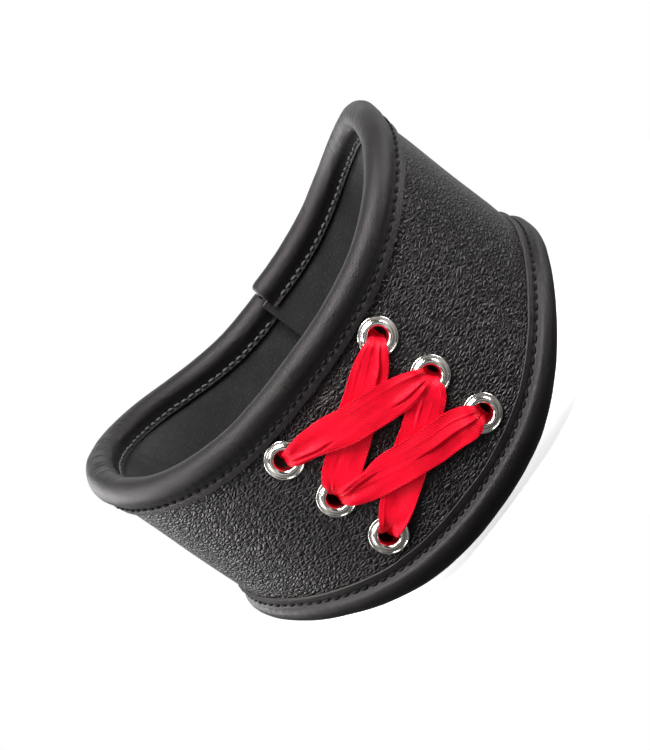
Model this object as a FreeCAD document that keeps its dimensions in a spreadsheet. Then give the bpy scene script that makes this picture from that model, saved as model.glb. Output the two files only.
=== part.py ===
import FreeCAD, Part
import Sketcher
import math
import os

# Laced leather neck corset (posture collar), in millimetres.
# +Z runs up the wearer's neck, the laced front faces -Y, +X is the viewer's right
# when looking at the front. The origin is on the neck axis, in the middle of the plan
# outline, near the middle of the wall's height at the sides.
#
# A point of the wall is given by three numbers:
#   angle   plan angle in degrees, from -180 (left end, at the back) over 0 (front)
#           to 180 (right end, at the back)
#   z       height
#   offset  distance out from the outer face, so the plies have negative offsets

Vec = FreeCAD.Vector
doc = FreeCAD.newDocument("neck_corset")
sheet = doc.addObject("Spreadsheet::Sheet", "dims")

# ---- driving dimensions: alias, value, meaning ----
DIMS = [
    ("half_width", 63.0, "outer face, half of the side to side size at z 0"),
    ("half_depth", 49.25, "outer face, half of the front to back size at z 0"),
    ("squareness", 2.45, "exponent of the plan outline, 2 is an ellipse"),
    ("flare_lin", 0.91, "outward growth at 40 mm up"),
    ("flare_quad", -0.18, "outward growth, square term"),
    ("shell_thick", 1.4, "pebbled outer leather"),
    ("stiff_thick", 0.8, "stiffener sheet"),
    ("foam_thick", 1.4, "foam interlining"),
    ("lining_thick", 0.8, "smooth lining leather"),
    ("ply_gap", 0.1, "glue line between two plies"),
    ("top_roll", 4.3, "padded top rim, outside radius"),
    ("bottom_roll", 5.2, "padded bottom rim, outside radius"),
    ("bind_leg", 10.6, "rim crest to the binding's outer edge"),
    ("bind_leg_in", 9.4, "rim crest to the binding's inner edge"),
    ("bind_thick", 0.9, "binding leather"),
    ("seam_depth", 8.3, "rim crest to the seam"),
    ("thread_rad", 0.35, "sewing thread radius"),
    ("eyelet_x", 20.1, "eyelet column, distance from the middle plane"),
    ("eyelet_zmid", -9.4, "middle eyelet height"),
    ("eyelet_pitch", 17.0, "eyelet spacing up the column"),
    ("eyelet_rad", 5.45, "eyelet outer radius"),
    ("eyelet_bore", 2.6, "eyelet hole radius"),
    ("eyelet_neck", 3.1, "eyelet barrel outer radius"),
    ("washer_thick", 0.5, "back washer"),
    ("ribbon_wide", 10.0, "satin ribbon width"),
    ("ribbon_thick", 0.5, "satin ribbon thickness"),
    ("lap_in", 1.6, "right end, inward set"),
    ("lap_out", 2.4, "left end, outward set"),
    ("lap_drop", 2.6, "left end, rim drop"),
    ("tab_long", 31.0, "closure tab length past the left end"),
    ("tab_thick", 1.5, "closure tab leather"),
    ("tape_thick", 0.9, "hook tape and loop tape thickness"),
    ("tab_tall", 27.0, "closure tab height"),
    ("tab_rise", 7.0, "extra height of the tab's root"),
    ("guard_half", 34.5, "lacing guard, half of its length along the wall"),
    ("guard_stand", 5.9, "lacing guard, standing off the lining"),
    ("guard_thick", 0.7, "lacing guard leather"),
]
# rim heights as cosine series of the plan angle: alias stem, first sheet row, terms
RIM_SERIES = {
    "top": ("toprim_", 60, [34.972, -6.174, -8.084, 1.104, 1.148, 0.0, 0.266, -0.132]),
    "bottom": ("botrim_", 80, [-25.603, -14.61, -6.634, -0.547, 0.151, 0.82, 0.503, -0.273]),
}
TERM_LETTERS = "abcdefgh"


def add_row(row, alias, value, note):
    sheet.set(f"A{row}", note)
    sheet.set(f"B{row}", str(value))
    sheet.setAlias(f"B{row}", alias)


def dim(alias):
    return float(sheet.get(alias))


for row, (alias, value, note) in enumerate(DIMS, start=1):
    add_row(row, alias, value, note)
for rim, (stem, first_row, terms) in RIM_SERIES.items():
    for k, value in enumerate(terms):
        add_row(first_row + k, stem + TERM_LETTERS[k], value, f"{rim} rim, cosine term {k}")
doc.recompute()

# ---- shape of the wall ----
HALF_WIDTH, HALF_DEPTH = dim("half_width"), dim("half_depth")
SQUARENESS = dim("squareness")
FLARE_HEIGHT = 40.0  # height the flare terms refer to
RIM_TERMS = {
    rim: [dim(stem + letter) for letter in TERM_LETTERS]
    for rim, (stem, _, _) in RIM_SERIES.items()
}


def smooth(x):
    """soft step from 0 to 1"""
    x = max(0.0, min(1.0, x))
    return x * x * (3 - 2 * x)


def end_shift(angle):
    """outward set and rim drop near the two ends, which meet at the back"""
    if angle > 0:
        return -dim("lap_in") * smooth((angle - 130) / 45.0), 0.0
    outward = dim("lap_out") * smooth((-angle - 130) / 45.0)
    drop = dim("lap_drop") * smooth((-angle - 125) / 50.0)
    return outward, drop


def rim_z(angle, rim):
    """height of a rim's crest"""
    turn = math.radians(angle)
    height = sum(term * math.cos(k * turn) for k, term in enumerate(RIM_TERMS[rim]))
    return height - end_shift(angle)[1]


def outline(angle):
    """point of the outer face at height 0 and its level normal"""
    sine, cosine = math.sin(math.radians(angle)), math.cos(math.radians(angle))
    total = abs(sine / HALF_WIDTH) ** SQUARENESS + abs(cosine / HALF_DEPTH) ** SQUARENESS
    radius = total ** (-1.0 / SQUARENESS)
    x, y = radius * sine, -radius * cosine
    slope_x = math.copysign(abs(x / HALF_WIDTH) ** (SQUARENESS - 1) / HALF_WIDTH, x)
    slope_y = math.copysign(abs(y / HALF_DEPTH) ** (SQUARENESS - 1) / HALF_DEPTH, y)
    size = math.hypot(slope_x, slope_y)
    return x, y, slope_x / size, slope_y / size


def flare(z):
    """outward lean of the wall"""
    part = z / FLARE_HEIGHT
    return dim("flare_lin") * part + dim("flare_quad") * part ** 2


def at(angle, z, offset):
    """every point of one plan angle lies in one upright plane"""
    x, y, normal_x, normal_y = outline(angle)
    offset = offset + flare(z) + end_shift(angle)[0]
    return Vec(x + normal_x * offset, y + normal_y * offset, z)


def angle_at_x(x, z):
    """plan angle of the point of the front's outer face at a given x and height"""
    low, high = -80.0, 80.0
    for _ in range(50):
        middle = (low + high) / 2
        if at(middle, z, 0).x < x:
            low = middle
        else:
            high = middle
    return low


def angle_at_length(length):
    """plan angle at a length along the outer face from the middle of the front"""
    total, angle, last = 0.0, 0.0, at(0.0, 0.0, 0.0)
    while total < length:
        angle += 0.05
        now = at(angle, 0.0, 0.0)
        total += (now - last).Length
        last = now
    return angle


def rim_point(angle, rim, offset, depth):
    """depth is the distance from the rim's crest towards the panel"""
    inward = -1 if rim == "top" else 1
    return at(angle, rim_z(angle, rim) + inward * depth, offset)


# ---- building helpers ----
def closed(points):
    return Part.makePolygon(points + [points[0]])


def loft(start, end, section, step=7.5):
    """solid through closed polygon sections; section(angle) gives the corner points"""
    count = max(4, int(math.ceil((end - start) / step)) + 1)
    angles = [start + (end - start) * i / (count - 1) for i in range(count)]
    return Part.makeLoft([closed(section(angle)) for angle in angles], True, False, False, 3)


def four_corners(angle, bottom, top, outer, inner):
    """section of a flat sheet between two heights and two offsets"""
    return [
        at(angle, bottom, inner),
        at(angle, bottom, outer),
        at(angle, top, outer),
        at(angle, top, inner),
    ]


pieces = []


def add_piece(name, shape):
    piece = doc.addObject("Part::Feature", name)
    piece.Label = name
    piece.Shape = shape
    pieces.append(piece)


def add_body(name):
    body = doc.addObject("PartDesign::Body", name)
    body.Label = name
    pieces.append(body)
    return body


def add_sketch(body, name, role):
    """sketch on one of the body's origin planes"""
    sketch = body.newObject("Sketcher::SketchObject", name)
    plane = [f for f in body.Origin.OriginFeatures if f.Role == role][0]
    sketch.AttachmentSupport = [(plane, "")]
    sketch.MapMode = "FlatFace"
    return sketch


def bind_constraint(sketch, constraint, expression):
    index = sketch.addConstraint(constraint)
    sketch.setExpression(f"Constraints[{index}]", expression)


# ---- plies, from the outside in: (outer offset, inner offset) ----
PLIES = {}
offset = 0.0
for name, alias in (
    ("outer_shell", "shell_thick"),
    ("stiffener", "stiff_thick"),
    ("foam_interlining", "foam_thick"),
    ("lining", "lining_thick"),
):
    PLIES[name] = (offset, offset - dim(alias))
    offset = PLIES[name][1] - dim("ply_gap")
INNER_FACE = PLIES["lining"][1]
MID_WALL = INNER_FACE / 2.0

ROLL = {"top": dim("top_roll"), "bottom": dim("bottom_roll")}
PLY_EDGE = 1.9  # cut edge of a ply, past the centre of the rim's roll


def ply(start, end, outer, inner):
    """flat ply between the two rims; its cut edges sit inside the bindings"""

    def section(angle):
        top = rim_z(angle, "top") - ROLL["top"] - PLY_EDGE
        bottom = rim_z(angle, "bottom") + ROLL["bottom"] + PLY_EDGE
        return four_corners(angle, bottom, top, outer, inner)

    return loft(start, end, section)


# ---- rims ----
BIND_THICK = dim("bind_thick")
BIND_GAP = 0.08  # wall face to binding leg
ROLL_END = 1.7  # where the outside of the roll ends, past the roll's centre
ROLL_END_IN = 1.2  # the same for the inside of the roll
CORE_GAP = 0.22  # binding to padding
THREAD_GAP = 0.06  # binding to thread


def binding_profile(roll):
    """closed outline of the leather folded round a rim, as (offset, depth) pairs"""

    def arc(radius, overrun, steps):
        """from the outer side over the crest to the inner side"""
        extra = math.degrees(math.asin(overrun / radius))
        turns = [
            math.radians(-extra + k * (180 + 2 * extra) / steps) for k in range(steps + 1)
        ]
        return [
            (MID_WALL + radius * math.cos(a), roll - radius * math.sin(a)) for a in turns
        ]

    front, back = BIND_GAP, INNER_FACE - BIND_GAP
    leg, leg_in = dim("bind_leg"), dim("bind_leg_in")
    return (
        [(front + BIND_THICK, leg), (front + BIND_THICK, roll + 2.6)]
        + arc(roll, ROLL_END, 12)
        + [(back - BIND_THICK, roll + 2.6), (back - BIND_THICK, leg_in)]
        + [(back, leg_in), (back, roll + 2.1)]
        + arc(roll - BIND_THICK, ROLL_END_IN, 10)[::-1]
        + [(front, roll + 2.1), (front, leg)]
    )


def binding(start, end, rim):
    profile = binding_profile(ROLL[rim])
    return loft(start, end, lambda angle: [rim_point(angle, rim, *pair) for pair in profile])


def rim_padding(start, end, rim):
    """twelve-sided core, cut flat where it meets the plies"""
    roll = ROLL[rim]
    radius = roll - BIND_THICK - CORE_GAP
    profile = []
    for k in range(12):
        turn = 2 * math.pi * (k + 0.5) / 12
        depth = min(roll + radius * math.sin(turn), roll + ROLL_END)
        profile.append((MID_WALL + radius * math.cos(turn), depth))
    return loft(start, end, lambda angle: [rim_point(angle, rim, *pair) for pair in profile])


def seam_line(start, end, rim, centre):
    """six-sided thread; centre is its offset"""
    radius = dim("thread_rad")
    profile = []
    for k in range(6):
        turn = 2 * math.pi * k / 6
        depth = dim("seam_depth") + radius * math.sin(turn)
        profile.append((centre + radius * math.cos(turn), depth))
    return loft(start, end, lambda angle: [rim_point(angle, rim, *pair) for pair in profile])


def seam_threads(start, end, rim):
    """one line on the outer leg of the binding and one on the inner leg"""
    stand = BIND_GAP + BIND_THICK + dim("thread_rad") + THREAD_GAP
    centres = (stand, INNER_FACE - stand)
    return Part.makeCompound([seam_line(start, end, rim, centre) for centre in centres])


# ---- eyelet frames ----
def eyelet_frame(side, row):
    """centre of the hole on the outer face, outward normal and direction up the wall"""
    z = dim("eyelet_zmid") + row * dim("eyelet_pitch")
    angle = angle_at_x(side * dim("eyelet_x"), z)
    up = (at(angle, z + 1, 0.0) - at(angle, z - 1, 0.0)).normalize()
    along = at(angle + 1, z, 0.0) - at(angle - 1, z, 0.0)
    along.z = 0
    along.normalize()
    return {"point": at(angle, z, 0.0), "normal": along.cross(up).normalize(), "up": up}


FRAMES = {
    f"{side_word}_{row_word}": eyelet_frame(side, row)
    for row_word, row in (("top", 1), ("middle", 0), ("bottom", -1))
    for side_word, side in (("right", 1), ("left", -1))
}


def frame_placement(frame):
    """placement carrying +Z onto the eyelet's outward normal"""
    point, z = frame["point"], frame["normal"]
    x = frame["up"].cross(z).normalize()
    y = z.cross(x)
    return FreeCAD.Placement(FreeCAD.Matrix(
        x.x, y.x, z.x, point.x,
        x.y, y.y, z.y, point.y,
        x.z, y.z, z.z, point.z,
        0, 0, 0, 1,
    ))


# ---- eyelets and washers ----
EYELET_RAD, BORE, NECK = dim("eyelet_rad"), dim("eyelet_bore"), dim("eyelet_neck")
WASHER_THICK = dim("washer_thick")
WASHER_SEAT = INNER_FACE - 0.35  # clear of the curved lining
WASHER_INSET = 0.35  # washer's outer radius, short of the eyelet's
NECK_GAP = 0.12  # play round the barrel
FLANGE_LIFT = 0.1  # flange edge over the leather
MOUTH_WIDE = 0.95  # radial width of the funnel mouth
RIM_LINE = 16  # sketch line that starts on the eyelet's outer radius
NECK_LINE = 21  # sketch line that starts on the barrel's outer radius


def eyelet_points():
    """half section of an eyelet, (radius, height over the leather face)"""
    back = WASHER_SEAT - WASHER_THICK
    points = [(BORE, back - 0.75), (BORE, 0.2)]
    for k in range(1, 7):  # funnel mouth
        turn = math.radians(k * 15.0)
        radius = BORE + MOUTH_WIDE * (1 - math.cos(turn))
        points.append((radius, 0.2 + 1.15 * math.sin(turn)))
    for k in range(1, 7):  # crown down to the lip
        turn = math.radians(k * 13.0)
        radius = BORE + MOUTH_WIDE + 1.55 * math.sin(turn)
        points.append((radius, 0.55 + 0.8 * math.cos(turn)))
    points += [  # lip and underside of the flange
        (EYELET_RAD - 0.28, 0.72), (EYELET_RAD - 0.08, 0.64), (EYELET_RAD, 0.45),
        (EYELET_RAD, FLANGE_LIFT), (EYELET_RAD - 0.35, FLANGE_LIFT),
        (4.3, 0.34), (3.6, 0.30), (NECK, 0.05),
    ]
    points += [  # barrel, rolled over behind the washer
        (NECK, back - 0.1), (NECK + 0.7, back - 0.12), (NECK + 0.95, back - 0.35),
        (NECK + 0.75, back - 0.62), (NECK + 0.2, back - 0.75),
    ]
    return points


def eyelet(name, frame):
    """half section revolved about the hole's axis"""
    body = add_body(name)
    sketch = add_sketch(body, name + "_section", "XZ_Plane")
    points = [Vec(radius, height, 0) for radius, height in eyelet_points()]
    count = len(points)
    for i in range(count):
        sketch.addGeometry(Part.LineSegment(points[i], points[(i + 1) % count]), False)
    for i in range(count):
        sketch.addConstraint(Sketcher.Constraint("Coincident", i, 2, (i + 1) % count, 1))
    for line, radius, alias in (
        (0, BORE, "eyelet_bore"),
        (NECK_LINE, NECK, "eyelet_neck"),
        (RIM_LINE, EYELET_RAD, "eyelet_rad"),
    ):
        distance = Sketcher.Constraint("DistanceX", -1, 1, line, 1, radius)
        bind_constraint(sketch, distance, "dims." + alias)
    doc.recompute()
    turned = body.newObject("PartDesign::Revolution", name + "_turned")
    turned.Profile = sketch
    turned.ReferenceAxis = (sketch, ["V_Axis"])
    turned.Angle = 360.0
    body.Placement = frame_placement(frame)
    doc.recompute()


def washer(name, frame):
    """ring padded to the washer's thickness, its outer back edge broken"""
    body = add_body(name)
    sketch = add_sketch(body, name + "_ring", "XY_Plane")
    radii = (EYELET_RAD - WASHER_INSET, NECK + NECK_GAP)
    for radius in radii:
        sketch.addGeometry(Part.Circle(Vec(0, 0, 0), Vec(0, 0, 1), radius), False)
    for i in range(2):
        sketch.addConstraint(Sketcher.Constraint("Coincident", i, 3, -1, 1))
    expressions = (f"dims.eyelet_rad - {WASHER_INSET}", f"dims.eyelet_neck + {NECK_GAP}")
    for i in range(2):
        bind_constraint(sketch, Sketcher.Constraint("Radius", i, radii[i]), expressions[i])
    pad = body.newObject("PartDesign::Pad", name + "_pad")
    pad.Profile = sketch
    pad.setExpression("Length", "dims.washer_thick")
    doc.recompute()
    chamfer = body.newObject("PartDesign::Chamfer", name + "_edge")
    edges = []
    for i, edge in enumerate(pad.Shape.Edges, start=1):
        box = edge.BoundBox
        if box.ZMin > WASHER_THICK - 1e-4 and box.XMax > EYELET_RAD - 0.6:
            edges.append(f"Edge{i}")
    chamfer.Base = (pad, edges)
    chamfer.Size = 0.15
    turned_over = FreeCAD.Placement(
        Vec(0, 0, WASHER_SEAT), FreeCAD.Rotation(Vec(1, 0, 0), 180)
    )
    body.Placement = frame_placement(frame).multiply(turned_over)
    doc.recompute()


def drilled(shape):
    """shape with the six eyelet holes cut through it"""
    for frame in FRAMES.values():
        hole = Part.makeCylinder(NECK + NECK_GAP, 14, Vec(0, 0, -9), Vec(0, 0, 1))
        hole.Placement = frame_placement(frame)
        shape = shape.cut(hole)
    return shape


# ---- satin ribbon ----
RIBBON_NARROW = 1.7  # gathered width inside an eyelet
RIBBON_SPREAD = 0.6  # extra width where it leaves the eyelet
ROW_SHIFT = 1.25  # two runs share a middle eyelet, one above and one below its centre
# start eyelet, its shift, end eyelet, its shift (in ROW_SHIFT, + is up), lift, inside
# lift is the mid-run offset outside the wall, and the mid-run bulge inside it
RIBBON_RUNS = [
    ("right_top", 0, "left_middle", 1, 2.1, False),
    ("left_top", 0, "right_middle", 1, 3.4, False),
    ("right_middle", -1, "left_bottom", 0, 2.1, False),
    ("left_middle", -1, "right_bottom", 0, 3.4, False),
    ("right_top", 0, "left_top", 0, 0.5, True),
    ("right_middle", 1, "left_middle", 1, 0.5, True),
    ("right_middle", -1, "left_middle", -1, 2.1, True),
    ("right_bottom", 0, "left_bottom", 0, 0.5, True),
]


def strip(path):
    """path of (point, width direction, width); rectangles joined in straight steps"""
    wires = []
    last = len(path) - 1
    for i, (point, across, width) in enumerate(path):
        along = (path[min(i + 1, last)][0] - path[max(i - 1, 0)][0]).normalize()
        across = (across - along * across.dot(along)).normalize()
        half_width = across * (width / 2.0)
        half_thick = along.cross(across).normalize() * (dim("ribbon_thick") / 2.0)
        wires.append(closed([
            point - half_width - half_thick,
            point + half_width - half_thick,
            point + half_width + half_thick,
            point - half_width + half_thick,
        ]))
    return Part.makeLoft(wires, True, True)


def ribbon_run(start_key, start_shift, end_key, end_shift_rows, lift, inside):
    """one run of ribbon from hole to hole"""
    start, end = FRAMES[start_key], FRAMES[end_key]
    start_point = start["point"] + Vec(0, 0, start_shift * ROW_SHIFT)
    end_point = end["point"] + Vec(0, 0, end_shift_rows * ROW_SHIFT)
    go = end_point - start_point
    flat = Vec(go.x, 0, go.z).normalize()
    across = Vec(-flat.z, 0, flat.x)
    # offsets: where the run leaves the eyelet, next to the eyelet, and in mid-run
    if inside:
        way, leave = -1, INNER_FACE - 2.6
        near = leave - 0.3
        far = near - lift
    else:
        way, leave, near, far = 1, 1.9, 2.1, lift
    mouth_width = RIBBON_NARROW + RIBBON_SPREAD

    def through_hole(point, normal, onward):
        """from the middle of the wall out to the eyelet's mouth"""
        return [
            (point + normal * (MID_WALL - way * 0.4), across, RIBBON_NARROW),
            (point + normal * (leave - way * 0.4), across, RIBBON_NARROW),
            (point + normal * (leave + way * 0.15) + onward * 0.8, across, mouth_width),
        ]

    path = through_hole(start_point, start["normal"], flat)
    steps = 9
    for k in range(1, steps):
        part = k / float(steps)
        x, z = start_point.x + go.x * part, start_point.z + go.z * part
        bulge = math.sin(math.pi * part)
        offset = near + (far - near) * smooth(bulge * 1.3)
        width = mouth_width + (dim("ribbon_wide") - RIBBON_NARROW) * smooth(bulge * 1.25)
        point = at(angle_at_x(x, z), z, offset)
        path.append((point, across, min(width, dim("ribbon_wide"))))
    path += through_hole(end_point, end["normal"], flat * -1)[::-1]
    return strip(path)


def lacing_ribbon():
    runs = [ribbon_run(*run) for run in RIBBON_RUNS]
    ribbon = runs[0]
    for run in runs[1:]:
        ribbon = ribbon.fuse(run)
    return ribbon


# ---- lacing guard ----
GUARD_SLOPE = 7.5  # length over which each side rises off the lining


def lacing_guard():
    """soft bridge inside the collar that keeps the ribbon off the neck"""
    edge = angle_at_length(dim("guard_half"))
    flat_edge = angle_at_length(dim("guard_half") - GUARD_SLOPE)

    def section(angle):
        rise = dim("guard_stand") * smooth((edge - abs(angle)) / (edge - flat_edge))
        outer = INNER_FACE - 0.12 - rise
        top, bottom = rim_z(angle, "top") - 10.3, rim_z(angle, "bottom") + 10.5
        return four_corners(angle, bottom, top, outer, outer - dim("guard_thick"))

    return loft(-edge, edge, section, 2.5)


# ---- closure at the back: a tab from the left end lies over the right end ----
TAPE_GAP = 0.12  # under each tape
TAB_GAP = 0.1  # under the tab
TAB_MID_Z = (rim_z(180, "top") + rim_z(180, "bottom")) / 2.0
TAB_TIP = 180.0 - math.degrees(dim("tab_long") / (HALF_DEPTH + 3.5))


def tab_ply(start, end, inner, thick, root_tall, tip_tall, rise=0.0):
    """flat ply over the right end; rise is extra height at the root"""

    def section(angle):
        part = smooth((180 - angle) / (180 - TAB_TIP))
        tall = root_tall + (tip_tall - root_tall) * part
        bottom = TAB_MID_Z - tall / 2
        top = TAB_MID_Z + tall / 2 + rise * (1 - part)
        return four_corners(angle, bottom, top, inner + thick, inner)

    return loft(start, end, section, 5.0)


def add_closure():
    tall, tape = dim("tab_tall"), dim("tape_thick")
    loop_in = TAPE_GAP
    hook_in = loop_in + tape + TAPE_GAP
    tab_in = hook_in + tape + TAB_GAP
    tape_tip = TAB_TIP + 3.0
    add_piece("loop_tape", tab_ply(tape_tip, 176.0, loop_in, tape, tall - 5, tall - 7))
    add_piece("hook_tape", tab_ply(tape_tip, 175.0, hook_in, tape, tall - 5, tall - 7))
    tab = tab_ply(
        TAB_TIP, 179.8, tab_in, dim("tab_thick"), tall, tall - 3, rise=dim("tab_rise")
    )
    add_piece("closure_tab", tab)


# ---- the collar's three bodies, split at the flex lines ----
FLEX = 90.0
SLIT = 0.12  # half of the slit between two bodies, degrees
END = 179.6
SPANS = {
    "front": (-FLEX + SLIT, FLEX - SLIT),
    "left": (-END, -FLEX - SLIT),
    "right": (FLEX + SLIT, END),
}


def add_wall(key, start, end):
    """plies, rims and seams of one body"""
    for name, (outer, inner) in PLIES.items():
        shape = ply(start, end, outer, inner)
        if key == "front":
            shape = drilled(shape)
        add_piece(f"{name}_{key}", shape)
    for rim in ("top", "bottom"):
        add_piece(f"{rim}_binding_{key}", binding(start, end, rim))
        add_piece(f"{rim}_rim_padding_{key}", rim_padding(start, end, rim))
        add_piece(f"{rim}_seam_thread_{key}", seam_threads(start, end, rim))


for key, (start, end) in SPANS.items():
    add_wall(key, start, end)
for key, frame in FRAMES.items():
    eyelet("eyelet_" + key, frame)
    washer("washer_" + key, frame)
add_piece("lacing_ribbon", lacing_ribbon())
add_piece("lacing_guard", lacing_guard())
add_closure()
doc.recompute()

# ---- checks, then export ----
for obj in doc.Objects:
    if "Invalid" in obj.State or "Error" in obj.State:
        raise RuntimeError(f"{obj.Name} is {obj.State}")
os.makedirs("parts", exist_ok=True)
for piece in pieces:
    shape = piece.Shape
    if shape.isNull() or not shape.isValid():
        raise RuntimeError(f"{piece.Label} has no valid shape")
    if not shape.Solids or any(solid.Volume <= 0 for solid in shape.Solids):
        raise RuntimeError(f"{piece.Label} has no solid, or an inside-out one")
    shape.exportStep(f"parts/{piece.Label}.step")
print("wrote", len(pieces), "nodes")
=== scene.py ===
# A leather neck collar: a padded wall with rolled rims, laced at the front with red satin ribbon
# through six nickel eyelets, and closed at the back by a hook-and-loop tab.
# It stands upright on +Z. The front faces -Y, the closure is at +Y, "right" is +X and "left" -X.
# Sizes are in millimetres until points are placed, and in metres after that. The wall is
# described by a plan angle in degrees (0 at the front, 180 at the back, positive to the right),
# a height z, and an offset out from its outer face (negative is towards the neck).
import math
from collections import namedtuple
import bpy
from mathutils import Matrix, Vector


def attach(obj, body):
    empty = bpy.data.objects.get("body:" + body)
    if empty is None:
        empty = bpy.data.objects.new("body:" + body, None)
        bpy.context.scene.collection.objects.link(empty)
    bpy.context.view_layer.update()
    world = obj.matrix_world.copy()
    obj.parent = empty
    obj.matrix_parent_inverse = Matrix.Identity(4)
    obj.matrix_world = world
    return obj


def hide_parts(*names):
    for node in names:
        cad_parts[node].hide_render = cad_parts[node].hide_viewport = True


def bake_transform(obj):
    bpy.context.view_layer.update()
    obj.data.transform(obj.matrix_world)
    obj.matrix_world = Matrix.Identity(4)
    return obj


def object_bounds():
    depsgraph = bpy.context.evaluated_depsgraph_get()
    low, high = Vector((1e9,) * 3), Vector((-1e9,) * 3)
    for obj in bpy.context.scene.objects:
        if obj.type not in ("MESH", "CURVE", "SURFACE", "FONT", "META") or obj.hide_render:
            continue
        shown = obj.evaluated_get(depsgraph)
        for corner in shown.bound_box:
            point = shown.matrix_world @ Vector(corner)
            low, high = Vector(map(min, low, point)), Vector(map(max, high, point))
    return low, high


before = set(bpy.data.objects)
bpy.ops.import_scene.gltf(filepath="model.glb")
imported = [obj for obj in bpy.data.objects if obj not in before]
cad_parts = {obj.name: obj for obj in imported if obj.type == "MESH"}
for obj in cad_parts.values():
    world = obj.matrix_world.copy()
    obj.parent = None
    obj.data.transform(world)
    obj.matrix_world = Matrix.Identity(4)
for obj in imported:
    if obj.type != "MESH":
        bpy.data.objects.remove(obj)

from types import SimpleNamespace

import bmesh
import bpy
import numpy as np
from mathutils import Matrix, Vector

cad_lo, cad_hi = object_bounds()
TURN = 2 * math.pi
RIGHT, LEFT = 1, -1
SIDES = {"left": LEFT, "right": RIGHT}

# ------------------------------------------------------------------ the collar's form
PLAN_HALF_X, PLAN_HALF_Y, PLAN_POWER = 63.0, 49.25, 2.45      # superellipse seen from above
END_ANGLE = 179.9
# rim heights: term k multiplies cos(k * plan angle)
TOP_SERIES = [34.972, -6.174, -8.084, 1.104, 1.148, 0.0, 0.266, -0.132]
BOTTOM_SERIES = [-25.603, -14.61, -6.634, -0.547, 0.151, 0.82, 0.503, -0.273]
# at the back the right end steps in, and the left end steps out over it and drops
LAP_IN, LAP_OUT, LAP_START, LAP_SPAN = 1.6, 2.4, 130, 45.0
LAP_DROP, DROP_START, DROP_SPAN = 2.6, 125, 50.0

# plies from the outside in: each is (outer offset, inner offset)
SHELL, STIFF, FOAM, LINING, GLUE = 1.4, 0.8, 1.4, 0.8, 0.1
SHELL_PLY = (0.0, -SHELL)
STIFF_PLY = (SHELL_PLY[1] - GLUE, SHELL_PLY[1] - GLUE - STIFF)
FOAM_PLY = (STIFF_PLY[1] - GLUE, STIFF_PLY[1] - GLUE - FOAM)
LINING_PLY = (FOAM_PLY[1] - GLUE, FOAM_PLY[1] - GLUE - LINING)
FACE_IN = LINING_PLY[1]
MID = FACE_IN / 2
PLY_MARGIN = 1.9            # from a rim roll's centre to the plies' cut edge
LAP_REACH = 2.4             # inner plies run this far past the right end

BINDING, BINDING_GAP = 0.9, 0.10
LEG_OUT, LEG_IN, SEAM = 10.6, 9.4, 8.3      # binding legs and seam, measured from the rim's edge
STITCH_PITCH = 2.72

EYELET_X, EYELET_Z, EYELET_PITCH = 20.1, -9.4, 17.0
UPPER, MIDDLE, LOWER = 1, 0, -1


def smooth(x):
    x = np.clip(x, 0.0, 1.0)
    return x * x * (3 - 2 * x)


def lap_offset(deg):
    right = -LAP_IN * smooth((deg - LAP_START) / LAP_SPAN)
    return np.where(deg > 0, right, LAP_OUT * smooth((-deg - LAP_START) / LAP_SPAN))


def rim_height(series, deg):
    angle = np.radians(deg)
    drop = np.where(deg > 0, 0.0, LAP_DROP * smooth((-deg - DROP_START) / DROP_SPAN))
    return sum(c * np.cos(k * angle) for k, c in enumerate(series)) - drop


def top_z(deg):
    return rim_height(TOP_SERIES, deg)


def bottom_z(deg):
    return rim_height(BOTTOM_SERIES, deg)


def plan(deg):
    """x, y of the plan curve and its outward normal"""
    angle = np.radians(deg)
    sine, cosine = np.sin(angle), np.cos(angle)
    power = PLAN_POWER
    total = np.abs(sine / PLAN_HALF_X) ** power + np.abs(cosine / PLAN_HALF_Y) ** power
    radius = total ** (-1.0 / power)
    x, y = radius * sine, -radius * cosine
    gx = np.abs(x / PLAN_HALF_X) ** (power - 1) / PLAN_HALF_X * np.where(x >= 0, 1, -1)
    gy = np.abs(y / PLAN_HALF_Y) ** (power - 1) / PLAN_HALF_Y * np.where(y >= 0, 1, -1)
    size = np.hypot(gx, gy)
    return x, y, gx / size, gy / size


def flare(z):
    return 0.91 * z / 40.0 - 0.18 * (z / 40.0) ** 2


def on_wall(deg, z, offset):
    """points of the wall, in metres"""
    deg, z, offset = np.broadcast_arrays(*(np.asarray(v, float) for v in (deg, z, offset)))
    x, y, nx, ny = plan(deg)
    out = offset + flare(z) + lap_offset(deg)
    return np.stack([x + nx * out, y + ny * out, z], -1) * 0.001


# inward is the z direction from the rim's edge into the wall; gather is the length along the
# wall, from the front, where the inside gathers most
Rim = namedtuple("Rim", "word height inward radius seed gather thread_seed")
TOP = Rim("top", top_z, -1, 4.3, 31, 92, 5)
BOTTOM = Rim("bottom", bottom_z, 1, 5.2, 57, 95, 3)


def on_rim(deg, rim, offset, below):
    """points at a distance below from the rim's edge, in metres"""
    deg = np.asarray(deg, float)
    return on_wall(deg, rim.height(deg) + rim.inward * below, offset)


# length along the wall from the middle of the front, as a table over the plan angle
TABLE_DEG = np.linspace(-END_ANGLE, END_ANGLE, 4001)
_steps = np.linalg.norm(np.diff(on_wall(TABLE_DEG, 0.0, 0.0), axis=0), axis=1)
TABLE_LENGTH = np.concatenate([[0], np.cumsum(_steps)]) * 1000
TABLE_LENGTH -= np.interp(0.0, TABLE_DEG, TABLE_LENGTH)
END_LENGTH = float(TABLE_LENGTH[-1])


def length_at(deg):
    return np.interp(deg, TABLE_DEG, TABLE_LENGTH)


def angle_at(length):
    return np.interp(length, TABLE_LENGTH, TABLE_DEG)


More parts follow.
